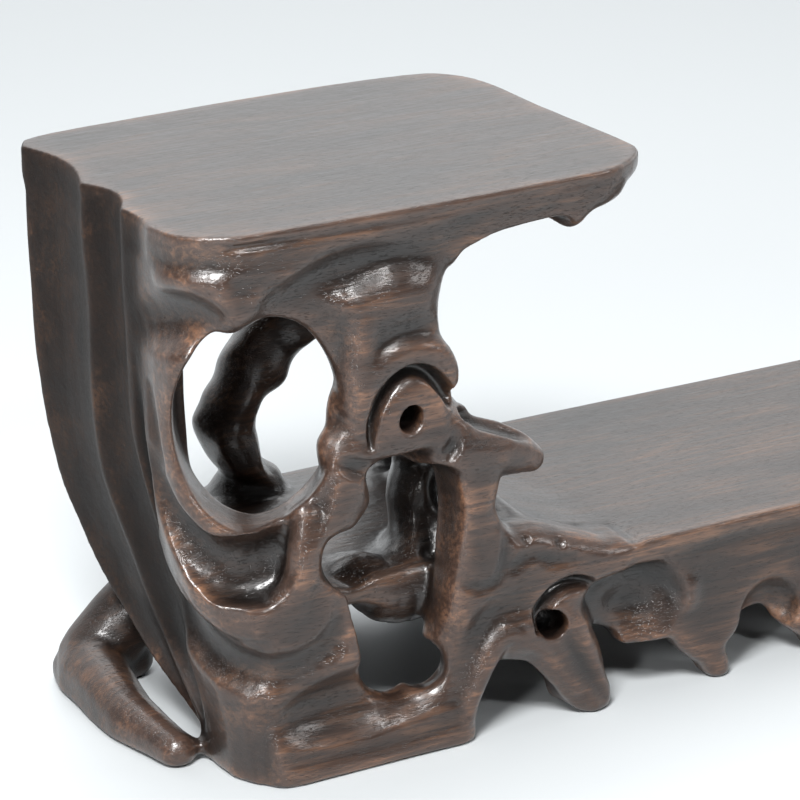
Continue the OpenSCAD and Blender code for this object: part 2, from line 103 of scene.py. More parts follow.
class Clay:
    """A box of signed distances, negative inside, with the index of its first voxel."""

    def __init__(self, low, high):
        self.low = np.floor(np.array(low) / VOXEL).astype(int) - PAD
        self.high = np.ceil(np.array(high) / VOXEL).astype(int) + PAD
        self.d = np.full(self.high - self.low, BAND, np.float32)

    def window(self, low, high):
        """Slices of the array that cover a box in millimetres, and its three axes there."""
        a = np.maximum(np.floor(np.array(low) / VOXEL).astype(int) - self.low, 0)
        b = np.minimum(np.ceil(np.array(high) / VOXEL).astype(int) - self.low + 1, self.d.shape)
        b = np.maximum(a, b)
        axes = [(np.arange(a[k], b[k]) + self.low[k]) * VOXEL for k in range(3)]
        grid = np.meshgrid(*[ax.astype(np.float32) for ax in axes], indexing="ij", sparse=True)
        return tuple(slice(p, q) for p, q in zip(a, b)), grid


def level_set(points, faces, band=BAND):
    spacing = vdb.createLinearTransform(voxelSize=VOXEL)
    return vdb.FloatGrid.createLevelSetFromPolygons(
        points.astype(np.float32),
        faces.astype(np.uint32),
        transform=spacing,
        halfWidth=band / VOXEL,
    )


def cad_mesh(name):
    """Points of a CAD node in millimetres, and its triangles."""
    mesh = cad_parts[name].data
    mesh.calc_loop_triangles()
    points = np.empty(len(mesh.vertices) * 3, np.float32)
    mesh.vertices.foreach_get("co", points)
    faces = np.empty(len(mesh.loop_triangles) * 3, np.int32)
    mesh.loop_triangles.foreach_get("vertices", faces)
    return points.reshape(-1, 3) / MM - ORIGIN, faces.reshape(-1, 3)


def smooth_min(a, b, k):
    h = np.maximum(k - np.abs(a - b), 0.0) / k
    return np.minimum(a, b) - h * h * k * 0.25


def smooth_max(a, b, k):
    return -smooth_min(-a, -b, k)


def blurred(d, sigma):
    """Gaussian blur along the three axes, which rounds edges and fills corners."""
    reach = int(math.ceil(2.5 * sigma / VOXEL))
    taps = np.exp(-0.5 * (np.arange(-reach, reach + 1) * VOXEL / sigma) ** 2)
    taps = (taps / taps.sum()).astype(np.float32)
    for axis in range(3):
        moved = np.moveaxis(d, axis, 0)
        wide = np.concatenate([moved[:1]] * reach + [moved] + [moved[-1:]] * reach)
        out = np.zeros_like(moved)
        for i, tap in enumerate(taps):
            out += tap * wide[i : i + len(moved)]
        d = np.moveaxis(out, 0, axis)
    return np.ascontiguousarray(d)


def noise_field(shape, size, seed):
    """Smooth noise of about unit height with lumps of the given size in millimetres."""
    cells = [int(n * VOXEL / size) + 4 for n in shape]
    value = np.random.default_rng(seed).uniform(-1, 1, cells).astype(np.float32)
    for axis, n in enumerate(shape):
        t = np.arange(n) * VOXEL / size + 1.0
        i = np.floor(t).astype(int)
        f = (t - i)[:, None]
        w = np.zeros((n, cells[axis]), np.float32)
        row = np.arange(n)
        for k, weight in enumerate(
            ((1 - f) ** 3, 3 * f**3 - 6 * f**2 + 4, -3 * f**3 + 3 * f**2 + 3 * f + 1, f**3)
        ):
            w[row, i - 1 + k] = weight[:, 0] / 6
        value = np.moveaxis(np.tensordot(w, np.moveaxis(value, axis, 0), 1), 0, axis)
    return value * 2.2


# ---- Sculpting tools ----


def curve(points, steps=3):
    """The Catmull-Rom curve through rows of numbers."""
    p = np.array(points, float)
    q = np.vstack([p[:1], p, p[-1:]])
    out = []
    for a, b, c, d in zip(q, q[1:], q[2:], q[3:]):
        for s in range(steps):
            t = s / steps
            bend = 2 * a - 5 * b + 4 * c - d + t * (3 * (b - c) + d - a)
            out.append(b + 0.5 * t * (c - a + t * bend))
    out.append(p[-1])
    return np.array(out)


def stroke(points, steps=3, flat=1.0):
    """A branch through [x, y, z, radius]; flat squeezes it front to back."""
    path = curve(points, steps)
    reach = path[:, 3:4] * [1, max(flat, 1), 1]
    low, high = (path[:, :3] - reach).min(0), (path[:, :3] + reach).max(0)

    def field(x, y, z):
        best = None
        for a, b in zip(path, path[1:]):
            ab = (b - a)[:3] / [1, flat, 1]
            length = max(float(ab @ ab), 1e-9)
            px, py, pz = x - a[0], (y - a[1]) / flat, z - a[2]
            t = np.clip((px * ab[0] + py * ab[1] + pz * ab[2]) / length, 0, 1)
            far = (px - t * ab[0]) ** 2 + (py - t * ab[1]) ** 2 + (pz - t * ab[2]) ** 2
            d = (np.sqrt(far) - (a[3] + t * (b[3] - a[3]))) * min(flat, 1)
            best = d if best is None else np.minimum(best, d)
        return best

    return low, high, field


def lump(centre, radii):
    """An ellipsoid."""
    c, r = np.array(centre, float), np.array(radii, float)

    def field(x, y, z):
        n = np.sqrt(((x - c[0]) / r[0]) ** 2 + ((y - c[1]) / r[1]) ** 2 + ((z - c[2]) / r[2]) ** 2)
        return (n - 1) * r.min()

    return c - r, c + r, field


def add(clay, shape, k):
    """Joins a shape on with a fillet of about k."""
    low, high, field = shape
    where, grid = clay.window(low - k - 1, high + k + 1)
    clay.d[where] = smooth_min(clay.d[where], field(*grid).astype(np.float32), k)


def cut(clay, shape, k):
    """Takes a shape away with an edge rounded by about k."""
    low, high, field = shape
    where, grid = clay.window(low - k - 1, high + k + 1)
    clay.d[where] = smooth_max(clay.d[where], -field(*grid).astype(np.float32), k)


# ---- From the CAD pieces to one carving ----


def gather():
    """One clay with every carved CAD node in it, and which node is nearest to each voxel."""
    meshes = [cad_mesh(name) for name in CARVED]
    low = np.min([m[0].min(0) for m in meshes], 0)
    high = np.max([m[0].max(0) for m in meshes], 0)
    clay = Clay(low, high)
    owner = np.full(clay.d.shape, CARVED.index("front_root"), np.int8)
    for index, (points, faces) in enumerate(meshes):
        where, _ = clay.window(points.min(0) - BAND, points.max(0) + BAND)
        part = np.full([s.stop - s.start for s in where], BAND, np.float32)
        first = [int(s.start + l) for s, l in zip(where, clay.low)]
        level_set(points, faces).copyToArray(part, ijk=tuple(first))
        nearer = part < clay.d[where]
        clay.d[where][nearer] = part[nearer]
        owner[where][nearer] = index
    return clay, owner


def as_grid(clay):
    grid = vdb.FloatGrid(BAND)
    grid.copyFromArray(clay.d, ijk=tuple(int(v) for v in clay.low))
    grid.transform = vdb.createLinearTransform(voxelSize=VOXEL)
    return grid


def close_joints(clay, reach):
    """Fills the joints between pieces, and rounds inner corners by about reach."""
    points, quads = as_grid(clay).convertToQuads(reach)
    spacing = vdb.createLinearTransform(voxelSize=VOXEL)
    grid = vdb.FloatGrid.createLevelSetFromPolygons(
        points, quads=quads, transform=spacing, halfWidth=(BAND + reach) / VOXEL
    )
    grid.copyToArray(clay.d, ijk=tuple(int(v) for v in clay.low))
    clay.d += reach


def sampled(d, low, points):
    """Distances at points, by trilinear interpolation."""
    p = points / VOXEL - low
    i = np.clip(np.floor(p).astype(int), 0, np.array(d.shape) - 2)
    f = (p - i).astype(np.float32)
    out = np.zeros(len(points), np.float32)
    for corner in range(8):
        step = np.array([corner & 1, corner >> 1 & 1, corner >> 2 & 1])
        w = np.prod(np.where(step, f, 1 - f), axis=1)
        j = i + step
        out += w * d[j[:, 0], j[:, 1], j[:, 2]]
    return out


def surface_normals(clay, points):
    n = np.empty((len(points), 3), np.float32)
    for axis in range(3):
        step = np.zeros(3)
        step[axis] = 0.6 * VOXEL
        ahead = sampled(clay.d, clay.low, points + step)
        n[:, axis] = ahead - sampled(clay.d, clay.low, points - step)
    return n / np.maximum(np.linalg.norm(n, axis=1, keepdims=True), 1e-9)


def flat_zone(clay):
    """1 on the two boards' flat tops and crisp rims, 0 on what is carved."""
    _, (x, y, z) = clay.window(clay.low * VOXEL, clay.high * VOXEL)
    rim = np.clip((z - (TOP - 3.2)) / 1.6, 0, 1)
    platform = ramp(x, CLEAR_TOP, CLEAR_TOP + 8) * np.clip((z - (LOW_TOP - 3.4)) / 1.2, 0, 1)
    return np.maximum(rim + 0 * x + 0 * y, platform * (z < UNDER - 20) + 0 * y).astype(np.float32)


def build_clay():
    clay, owner = gather()
    close_joints(clay, JOINT_REACH)
    crisp = flat_zone(clay)
    clay.d = crisp * blurred(clay.d, CRISP_BLUR) + (1 - crisp) * blurred(clay.d, SOFT_BLUR)
    lumps = noise_field(clay.d.shape, LUMP_SIZE, 11)
    clay.d += (1 - crisp) * LUMP_HEIGHT * lumps
    knotted_rear(clay)
    for feature in (
        board_edge, overhang, upper_hollows, neck, pillar, pocket, side_valley, eye, legs, root_mass_behind,
        twig, base, toe, platform_edge
    ):
        feature(clay)
    return clay, owner


# ---- The carving, feature by feature, in millimetres ----


def knotted_rear(clay):
    """The root behind is left knotted and pitted."""
    where, (x, y, z) = clay.window((28, 58, LOW_TOP - 2), (100, 84, UNDER + 1))
    shape = clay.d[where].shape
    inside = ramp(y, 62, 67) * ramp(z, LOW_TOP, LOW_TOP + 4) * ramp(z, UNDER, UNDER - 4)
    knots = 2.6 * noise_field(shape, 8.0, 5) + 1.0 * noise_field(shape, 4.0, 6)
    clay.d[where] += inside * knots


def board_edge(clay):
    """A thin lip round the upper board, and the cove under the rim band along the front."""
    cut(clay, stroke([
        [12, -2.4, 97.5, 4.4], [18, -2.2, 101, 5], [25, -2.0, 105.0, 5.8], [34, -2.4, 108, 6.4],
        [45, -3.4, 108.6, 6.6], [56, -3.4, 109, 5.8], [67, -2.4, 110.5, 4.4], [80, -1.6, 112.5, 3.4],
        [92, -0.4, 114, 2.6],
    ]), 2.6)
    cut(clay, stroke([
        [8, 2.4, 117.4, 0.7], [30, -0.2, 117.6, 0.8], [55, -0.3, 117.2, 0.9], [80, 0.1, 117.8, 0.9],
        [92, 0.8, 117.8, 0.6],
    ]), 0.9)
    cut(clay, stroke([
        [44, -1.8, 114.8, 2.0], [58, -1.4, 113.6, 2.6], [72, -1.2, 115, 2.4], [86, -0.6, 116, 1.6],
    ]), 1.5)


def overhang(clay):
    """Under the board's free end: a cove next to the neck, then a lobe."""
    cut(clay, stroke([
        [65.5, 1, 104.4, 4.2], [70, 1, 105.7, 4.8], [77, 1, 106.5, 4.8], [84, 1, 107.3, 4.4],
    ], 3, 2.5), 1.2)
    add(clay, stroke([[86, 5, 115.2, 2.6], [92, 5.4, 114.4, 2.9], [98.4, 7, 114.8, 2.4]]), 2.6)
    cut(clay, stroke([[64, -1.4, 108.5, 1.6], [72, -1.2, 112.6, 1.8], [82, -0.8, 115, 1.6]]), 1.0)


def upper_hollows(clay):
    """The valley between the corner pillar and the lobe that hangs from the board."""
    cut(clay, stroke([
        [-4.6, 24, 97, 4.8], [-3.0, 16, 100.5, 6.4], [0.8, 5.8, 102, 7.0], [4.6, 0.2, 98.5, 6.8],
        [8, -0.4, 94, 5.6],
    ]), 2.4)
    cut(clay, stroke([[15.5, -3.2, 111, 3], [19.5, -3.0, 106, 4.2], [21, -2.4, 101, 3.6]]), 2.2)


def neck(clay):
    """The neck over the burr swells forward between a flute on each side."""
    cut(clay, stroke([
        [21, -2.6, 104, 4.6], [27.5, -2.2, 99, 6.4], [32, -2.2, 91, 7.0], [33.2, -2.2, 82, 6.6],
        [31, -2, 75, 5], [28, -2, 70, 3.6],
    ]), 3.4)
    cut(clay, stroke([
        [61.5, -3.2, 110, 5.6], [60.4, -3.6, 101, 7.2], [61.2, -3.6, 94, 7.0], [63.5, -2.6, 87.5, 5],
    ]), 3.0)
    cut(clay, stroke([[41.5, -2.2, 92.6, 3.4], [48, -2.6, 94.6, 4.4], [55.6, -2.2, 93, 4]]), 2.4)
    add(clay, stroke([
        [37.4, 3.4, 75, 1.8], [38.4, 3, 82, 2.3], [42.6, 2.8, 87.4, 2.6], [48.6, 2.8, 89.6, 2.7],
        [54.8, 2.8, 88.2, 2.7],
        [57.8, 3, 84.6, 2.2], [58.8, 3.4, 81.4, 1.6],
    ]), 1.8)
    add(clay, lump([46.5, 5.2, 101.5], [8, 5.1, 6.4]), 3.0)
    add(clay, stroke([[38.6, 3.8, 96, 2.6], [37.6, 3.6, 88, 3], [37.4, 3.8, 80, 2.4]]), 2.6)


def pillar(clay):
    """Flutes down the corner pillar, between the second rib and the window."""
    cut(clay, stroke([
        [-1.4, 27.5, 90, 1.4], [-0.9, 26.8, 80, 1.9], [-0.4, 25.8, 70, 2.0], [0.4, 25.2, 62, 2.0],
        [1.4, 25, 54, 1.6],
    ]), 1.0)
    cut(clay, stroke([[-1.0, 20.5, 86, 1.2], [-0.8, 19.5, 78, 1.9], [-0.6, 18, 70, 2.2]]), 1.2)


def pocket(clay):
    """The bowl under the window, inside the rolled lip."""
    cut(clay, stroke([
        [-2.4, 20.5, 71, 3], [-1.2, 18, 64, 4], [1.0, 13.5, 57, 5.0], [5.0, 7.6, 51, 6.2],
        [11, 3.6, 49.4, 7.0], [16.5, 3.0, 49.2, 6.8], [21, 1.6, 53.5, 5.2], [25.5, 0.2, 60, 3.8],
        [29, -0.8, 66, 2.6],
    ]), 1.6)
    cut(clay, stroke([[8, 6.5, 46.6, 4.2], [13, 5.8, 45.6, 4.2], [18, 5, 46, 3.6]]), 1.4)


def side_valley(clay):
    """The hollow that runs down between the first rib and the lip, and on below the lip."""
    cut(clay, stroke([
        [-5.2, 40, 70, 6], [-4.2, 36.5, 58, 7], [-2.6, 32.5, 47, 8], [-0.4, 27, 38.5, 7.8],
        [2.4, 17, 31, 7.2],
        [6.2, 6.6, 27, 6.8], [13, -0.8, 25.4, 6.6], [21, -2.4, 25.6, 6.2], [27.5, -2.4, 28.5, 5.2],
        [31.5, -2.0, 34.5, 4], [32.5, -1.8, 42, 2.8],
    ]), 1.4)
    cut(clay, stroke([
        [-0.2, 24.8, 47, 2.2], [1.8, 21, 41, 2.4], [3.8, 14, 36.4, 2.2], [8.4, 6, 32.6, 2],
    ]), 1.4)


def eye(clay):
    """The arched groove and the pupil are cut crisp; the burr's lower edge overhangs the legs."""
    cut(clay, stroke([
        [39.4, 0, 70.8, 0.7], [39.6, 0, 74.5, 1.1], [41.2, 0, 79.5, 1.3], [44.4, 0, 83.6, 1.5],
        [48.4, 0, 85.4, 1.6], [52.4, 0, 84.4, 1.7], [55.8, 0, 81, 1.8], [58.6, 0.5, 77, 1.9],
    ], 4, 2.8), 0.4)
    cut(clay, stroke([[48.6, -2, 75.8, 2.6], [48.6, 6.5, 75.8, 2.4]], 1), 0.35)
    cut(clay, stroke([
        [27, -0.4, 69.5, 1.8], [32, -0.6, 69.2, 2.4], [37, -0.6, 66.8, 2.9], [43, -0.6, 64.8, 3.1],
        [49, -0.6, 63.8, 3.1],
        [54, -0.6, 64.3, 2.8], [57.5, -0.4, 67.2, 2.2], [59.5, -0.2, 71, 1.6],
    ]), 0.6)
    cut(clay, stroke([[59, -1.2, 79, 2.6], [58.8, -1.4, 73, 2.8], [55.8, -2.2, 68.4, 2.4]]), 1.0)


def legs(clay):
    """Rolled crest of the left leg, the waist of the opening, and the lobe at the right leg's end."""
    cut(clay, stroke([[32.0, -3, 49.0, 6.2], [33.6, 0, 47.7, 6.4], [41.4, 15, 41.4, 6.2]], 3), 1.8)
    cut(clay, stroke([
        [55.2, 3, 59, 4.3], [56, 3, 52, 4.6], [54.6, 3, 43, 4.2], [52.8, 3, 35, 3.8],
        [51.2, 3, 27, 3.8],
    ], 3, 3.0), 1.6)
    cut(clay, stroke([[46.6, -3, 22.6, 5.2], [54.9, 13, 15.9, 5.2]], 1), 1.5)
    add(clay, stroke([[36.6, 4.4, 61.5, 2.6], [37.8, 5, 58.6, 2.4], [36, 5, 56.4, 2]]), 1.8)
    add(clay, stroke([
        [25.4, 3.8, 58, 2.2], [24.2, 3.2, 52, 3.0], [23.2, 3.2, 46, 3.0], [20.4, 3.8, 41.6, 2.4],
    ]), 2.8)
    cut(clay, stroke([
        [57.6, -0.4, 47.5, 1.4], [58, -0.4, 40, 1.8], [62.8, -0.5, 35, 1.9], [67.8, -0.4, 36, 1.8],
        [70, -0.2, 42, 1.7],
        [70.4, 0, 48.5, 1.5],
    ]), 0.9)
    cut(clay, stroke([[62, -0.8, 51, 1.4], [62.6, -0.9, 46, 2.0], [64, -0.7, 42.6, 1.3]]), 1.2)


def root_mass_behind(clay):
    """The mass behind the opening under the burr, where the roots run together; its dark colour is the
    painted inside shade.
    """
    mass = (
        stroke([
            [55, 13, 69, 6.5], [62, 24, 66, 7.5], [68, 31, 59, 8.5], [69, 31, 52, 8.6],
            [67.5, 29, 45, 9.4], [66, 26, 37, 8.6],
        ]),
        stroke([[66, 26, 36, 8.2], [59, 22, 31, 8.4], [51, 20, 30, 6.4], [46, 22, 34, 5]]),
        stroke([[66, 30, 46, 6], [74, 24, 42, 6], [76, 16, 40, 6]]),
    )
    for shape in mass:
        add(clay, shape, 4.0)
    cut(clay, stroke([[58.4, 19, 54, 3], [61.4, 18.5, 46, 3.6], [61, 16.5, 39, 2.6]]), 2.0)
    cut(clay, lump([66.5, 19.5, 50], [3.4, 5, 6.5]), 2.0)


def twig(clay):
    """A spoon hollow along the top of the side twig."""
    add(clay, stroke([[67, 8, 62.5, 4.4], [74, 7.6, 60.4, 4.0], [79.2, 7.4, 58.8, 3.1]]), 2.2)
    cut(clay, stroke([
        [62, 4.6, 72, 2.0], [68, 4.8, 70.4, 2.8], [74.5, 5, 67.0, 2.4], [78, 5.4, 65, 1.4],
    ]), 1.0)


def base(clay):
    """Broad front of the base: hollow in the middle, with a bead along the ground."""
    cut(clay, lump([33, -5.5, 15], [24, 12, 9.5]), 3.5)
    cut(clay, lump([51, -4.5, 21], [10, 9.5, 13]), 3.0)
    cut(clay, stroke([
        [11, -0.8, 6.4, 2.2], [28, -1.4, 5.4, 2.8], [46, -1.4, 5.2, 2.8], [58, -1.0, 6.4, 2.2],
    ]), 1.4)
    cut(clay, stroke([[17, -0.8, 24.6, 1.0], [27, -1, 22.6, 1.6], [37, -0.8, 23.2, 1.0]]), 1.0)
    cut(clay, stroke([[-1.5, 16, 15, 2.6], [2.4, 7, 13, 3], [6, 1.6, 9, 2.4]]), 1.8)
    cut(clay, stroke([
        [72, -0.6, 38, 2], [76.5, -0.8, 40, 2], [81, -0.6, 37.4, 2.2], [86, -0.8, 36.5, 1.8],
    ]), 1.3)
    cut(clay, stroke([[74, 0, 47, 1.6], [75, 1, 43.5, 1.2]]), 0.8)
    cut(clay, stroke([[82.5, 0, 44.5, 1.6], [83, 1, 41, 1.2]]), 0.8)


def toe(clay):
    """The arch's rolled edge, the groove that hooks round the pad on the toe, and its hole."""
    add(clay, stroke([
        [66.5, 5, 19.6, 3], [72.5, 5, 19.8, 4.2], [78.6, 5, 17.2, 3.8], [82.6, 5, 12, 3],
    ]), 2.0)
    cut(clay, stroke([[79.6, 2, 2.4, 4.2], [84.4, 2, -3.4, 5.4]], 1, 3.0), 1.6)
    cut(clay, stroke([
        [78, -1.6, 25.6, 2.0], [72, -1.8, 29.4, 3.6], [65.4, -1.8, 27, 4.2], [59.6, -1.8, 18.5, 4.2],
        [57.4, -1.8, 11, 3.4],
    ]), 2.0)
    add(clay, stroke([
        [60.6, 2.8, 6, 1.8], [62.4, 2.6, 11.5, 2.2], [65.8, 2.4, 18, 2.4], [69.6, 2.4, 22.4, 2.5],
        [75.2, 2.6, 19.8, 2.4], [80.4, 2.8, 13.6, 2.4], [86, 3, 6.8, 2.6],
    ]), 1.4)
    cut(clay, stroke([
        [67.4, -0.6, 4, 1.8], [67.6, -0.6, 12.4, 2.0], [70.6, -0.6, 16, 2.2], [76.6, -0.6, 14.6, 2.2],
        [82, -0.6, 7.6, 2.0], [88, -0.6, 0.6, 2.0],
    ]), 1.4)
    cut(clay, stroke([[84, -0.8, 19, 1.8], [88, -0.8, 12, 2.2], [93.6, -0.6, 3.5, 1.8]]), 1.4)
    cut(clay, stroke([
        [77.8, 0, 22.5, 1.4], [78.2, 0, 26.5, 1.9], [81, 0, 29.6, 2.0], [85.6, 0, 31, 2.0],
        [90, 0, 30, 1.6], [92.6, 0, 27.5, 1],
    ], 4, 2.2), 0.5)
    cut(clay, stroke([[80.6, -1, 23, 3.2], [82.4, 7, 21.6, 2.9]], 1), 0.6)


def platform_edge(clay):
    """Dark hollow beside the toe, and the undercut below the platform's thin lip."""
    add(clay, stroke([[91, 12, 25, 6.5], [99, 10.5, 22.5, 7], [107, 9, 18.5, 6.5]]), 3.0)
    cut(clay, lump([101.5, -2.5, 21.5], [10.5, 10, 9]), 3.0)
    cut(clay, stroke([
        [97, -1.2, 31.5, 1.2], [112, -0.6, 31.4, 2.4], [140, -0.4, 31.8, 2.6], [244, -0.4, 31.8, 2.6],
    ], 2), 1.4)
    for x in (136.5, 163.5, 190.5, 217.5):
        cut(clay, lump([x, 2.4, 12.5], [7.5, 6, 6.5]), 1.8)


def shares(label, x):
    """Node, piece name and faces of each piece; the long platform comes in two lengths."""
    halfway = float(np.mean(x[label == CARVED.index("low_board")]))
    for i, name in enumerate(CARVED):
        if name == "low_board":
            yield name, name + "_near", (label == i) & (x < halfway)
            yield name, name + "_far", (label == i) & (x >= halfway)
        else:
            yield name, name, label == i


def finish_masks(clay, points, normals):
    """How much painted shade darkens the colour, and how far the polish goes, at every point."""
    x, y, z = points.T
    skin = sampled(clay.d, clay.low, points)
    # painted shade: hollows and creases are painted darker and ridges lighter, by how far the surface
    # lies below its blurred self, at a fine and a broad scale
    relief = sampled(blurred(clay.d, 1.8), clay.low, points) - skin
    broad = sampled(blurred(clay.d, 4.5), clay.low, points) - skin
    flat_top = ramp(normals[:, 2], 0.85, 0.95) * ramp(z, LOW_TOP - 2, LOW_TOP)
    wall = ramp(x, 15, 8) * ramp(y, 18, 25) * ramp(z, 14, 24) * (1 - flat_top)
    # painted shade: the inside of the carving, behind the front root and under the upper board, is
    # painted darker
    painted_inside_shade = ramp(y, 12, 18) * ramp(x, 8, 16) * ramp(x, 104, 92) * ramp(UNDER - z, 0, 3) * (1 - flat_top)
    # painted shade: the rear-left foot is painted darker, through a lower polish that also makes it
    # less glossy
    painted_foot_shade = ramp(z, 36, 26) * ramp(y, 34, 44) * ramp(x, 56, 46)
    polish = (1 - wall - 0.5 * (1 - wall) * flat_top) * (1 - 0.55 * painted_foot_shade)
    painted_shade = 0.3 + 1.2 * ramp(relief, -0.35, 0.45)
    painted_shade *= 0.34 + 0.78 * ramp(broad, -1.1, 1.5)
    # painted shade: the end wall is painted darker towards its bottom; the colour is also darker
    # wherever the polish is lower
    painted_shade *= (0.42 + 0.66 * polish) * (1 - 0.3 * painted_inside_shade) * (1 - 0.5 * wall * ramp(z, 75, 20))
    return painted_shade.astype(np.float32), polish.astype(np.float32)


def cut_into_pieces(clay, owner):
    """Meshes the carving once and shares its faces out to the nearest CAD node."""
    points, quads = as_grid(clay).convertToQuads(0.0)
    normals = surface_normals(clay, points)
    painted_shade, polish = finish_masks(clay, points, normals)
    low, high = (np.array(corner) / MM - ORIGIN for corner in cad_box)
    points = np.clip(points, low + INSET, high - INSET)
    middle = points[quads].mean(1)
    index = np.clip(np.round(middle / VOXEL).astype(int) - clay.low, 0, np.array(owner.shape) - 1)
    label = owner[index[:, 0], index[:, 1], index[:, 2]]
    pieces = []
    for name, title, mine in shares(label, middle[:, 0]):
        own = quads[mine]
        used, flat = np.unique(own, return_inverse=True)
        mesh = bpy.data.meshes.new("carved_" + title)
        mesh.vertices.add(len(used))
        mesh.vertices.foreach_set("co", ((points[used] + ORIGIN) * MM).astype(np.float32).ravel())
        mesh.loops.add(len(own) * 4)
        mesh.loops.foreach_set("vertex_index", flat.ravel().astype(np.int32))
        mesh.polygons.add(len(own))
        mesh.polygons.foreach_set("loop_start", np.arange(0, len(own) * 4, 4, dtype=np.int32))
        mesh.update(calc_edges=True)
        mesh.validate()
        mesh.polygons.foreach_set("use_smooth", np.ones(len(own), bool))
        mesh.normals_split_custom_set_from_vertices(normals[used])
        for key, values in (("painted_shade", painted_shade), ("polish", polish)):
            mesh.attributes.new(key, "FLOAT", "POINT").data.foreach_set("value", values[used])
        piece = bpy.data.objects.new("carved_" + title, mesh)
        bpy.context.scene.collection.objects.link(piece)
        pieces.append((name, piece))
    return pieces


# ---- Wood ----


def node(tree, kind, **values):
    """A shader node with its inputs and settings given by name."""
    n = tree.nodes.new(kind)
    for key, value in values.items():
        if key in n.inputs:
            n.inputs[key].default_value = value
        else:
            setattr(n, key, value)
    return n


def between(tree, fac, low, high):
    """A value that runs from low to high as fac runs from 0 to 1."""
    n = node(tree, "ShaderNodeMapRange")
    n.inputs["To Min"].default_value = low
    n.inputs["To Max"].default_value = high
    tree.links.new(fac, n.inputs["Value"])
    return n.outputs[0]


def wood(name, dark, mid, warm):
    material = bpy.data.materials.new(name)
    material.use_nodes = True
    t = material.node_tree
    link = t.links.new
    shader = t.nodes["Principled BSDF"]
    where = node(t, "ShaderNodeTexCoord")

    # the grain runs along X: the coordinates are squeezed along it
    grain_space = node(t, "ShaderNodeMapping", Scale=(60.0, 950.0, 950.0))
    link(where.outputs["Object"], grain_space.inputs["Vector"])
    streaks = node(t, "ShaderNodeTexNoise", Scale=1.0, Detail=5.0, Roughness=0.6, Distortion=0.4)
    link(grain_space.outputs[0], streaks.inputs["Vector"])
    broad_space = node(t, "ShaderNodeMapping", Scale=(26.0, 92.0, 92.0))
    link(where.outputs["Object"], broad_space.inputs["Vector"])
    broad = node(t, "ShaderNodeTexNoise", Scale=1.0, Detail=3.0, Roughness=0.55, Distortion=0.7)
    link(broad_space.outputs[0], broad.inputs["Vector"])

    tone = node(t, "ShaderNodeMath", operation="MULTIPLY")
    link(streaks.outputs["Fac"], tone.inputs[0])
    link(broad.outputs["Fac"], tone.inputs[1])
    colours = node(t, "ShaderNodeValToRGB")
    stops = colours.color_ramp
    stops.elements[0].position = 0.1
    stops.elements[0].color = (*dark, 1)
    stops.elements[1].position = 0.5
    stops.elements[1].color = (*warm, 1)
    middle = stops.elements.new(0.26)
    middle.color = (*mid, 1)
    link(tone.outputs[0], colours.inputs["Fac"])

    # painted shade: hollows and the inside are painted darker, edges a little lighter
    polish = node(t, "ShaderNodeAttribute", attribute_name="polish").outputs["Fac"]
    painted_shade_factor = node(t, "ShaderNodeAttribute", attribute_name="painted_shade")
    painted_shade = node(t, "ShaderNodeVectorMath", operation="SCALE")
    link(colours.outputs["Color"], painted_shade.inputs[0])
    link(painted_shade_factor.outputs["Fac"], painted_shade.inputs["Scale"])

    # short dark pores along the grain
    pore_space = node(t, "ShaderNodeMapping", Scale=(420.0, 3600.0, 3600.0))
    link(where.outputs["Object"], pore_space.inputs["Vector"])
    pores = node(t, "ShaderNodeTexVoronoi", Scale=1.0, Randomness=1.0)
    link(pore_space.outputs[0], pores.inputs["Vector"])
    pit = node(t, "ShaderNodeMapRange")
    pit.inputs["From Min"].default_value = 0.16
    pit.inputs["From Max"].default_value = 0.34
    link(pores.outputs["Distance"], pit.inputs["Value"])
    darker = node(t, "ShaderNodeMapRange")
    darker.inputs["To Min"].default_value = 0.45
    link(pit.outputs[0], darker.inputs["Value"])
    pored = node(t, "ShaderNodeVectorMath", operation="SCALE")
    link(painted_shade.outputs[0], pored.inputs[0])
    link(darker.outputs[0], pored.inputs["Scale"])
    link(pored.outputs[0], shader.inputs["Base Color"])

    # polish: smoother on rubbed edges, duller along open grain
    dull = node(t, "ShaderNodeMath", operation="ADD")
    link(between(t, streaks.outputs["Fac"], -0.1, 0.16), dull.inputs[0])
    link(between(t, polish, 0.5, 0.35), dull.inputs[1])
    link(dull.outputs[0], shader.inputs["Roughness"])
    link(between(t, polish, 0.02, 0.75), shader.inputs["Coat Weight"])
    link(between(t, polish, 0.2, 0.32), shader.inputs["Specular IOR Level"])
    shader.inputs["Coat Roughness"].default_value = 0.19

    # hand-tool ripples, open grain and pores
    ripple = node(t, "ShaderNodeTexNoise", Scale=230.0, Detail=2.0, Roughness=0.5)
    link(where.outputs["Object"], ripple.inputs["Vector"])
    bump_ripple = node(t, "ShaderNodeBump", Strength=0.25, Distance=0.0006)
    link(ripple.outputs["Fac"], bump_ripple.inputs["Height"])
    bump_grain = node(t, "ShaderNodeBump", Strength=0.5, Distance=0.00018)
    link(streaks.outputs["Fac"], bump_grain.inputs["Height"])
    link(bump_ripple.outputs[0], bump_grain.inputs["Normal"])
    bump_pore = node(t, "ShaderNodeBump", Strength=0.5, Distance=0.0001)
    link(pit.outputs[0], bump_pore.inputs["Height"])
    link(bump_grain.outputs[0], bump_pore.inputs["Normal"])
    link(bump_pore.outputs[0], shader.inputs["Normal"])
    link(bump_pore.outputs[0], shader.inputs["Coat Normal"])
    return material


